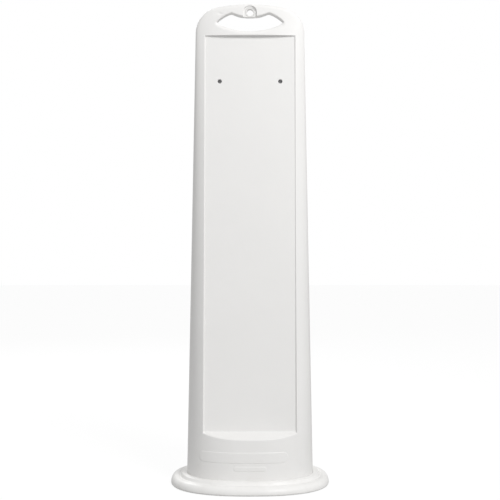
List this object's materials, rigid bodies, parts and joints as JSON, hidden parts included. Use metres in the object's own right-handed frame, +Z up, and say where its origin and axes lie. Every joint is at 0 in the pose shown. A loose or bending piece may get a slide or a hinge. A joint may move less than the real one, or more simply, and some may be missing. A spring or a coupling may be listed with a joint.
{
  "type": "freestanding vertical panel post",
  "caption": "Hollow tapered plastic marker post with a carry handle, a lamp bolt hole, a flat recess for a sign or sheet on each face and a stepped foot for a ballast ring.",
  "frame": {"origin": "on the floor under the centre of the post", "axes": "+Z up the post, the front face looks along -Y, +X is to the right as seen from the front"},
  "size_m": [0.376, 0.3242, 1.143],
  "materials": {
    "post_shell": "satin moulded white polyethylene with a fine grain",
    "foot_ring": "satin moulded white polyethylene, slightly warm",
    "lamp_bolt_sleeve": "satin moulded white plastic",
    "foot_screw": "zinc plated steel",
    "face_insert": "zinc plated steel"
  },
  "bodies": {
    "root": {"post_shell": "post_shell", "foot_ring": "foot_ring", "lamp_bolt_sleeve": "lamp_bolt_sleeve", "foot_screw_1": "foot_screw", "foot_screw_2": "foot_screw", "foot_screw_3": "foot_screw", "foot_screw_4": "foot_screw", "foot_screw_5": "foot_screw", "foot_screw_6": "foot_screw", "face_insert_front_left": "face_insert", "face_insert_front_right": "face_insert", "face_insert_rear_left": "face_insert", "face_insert_rear_right": "face_insert"}
  },
  "joints": []
}
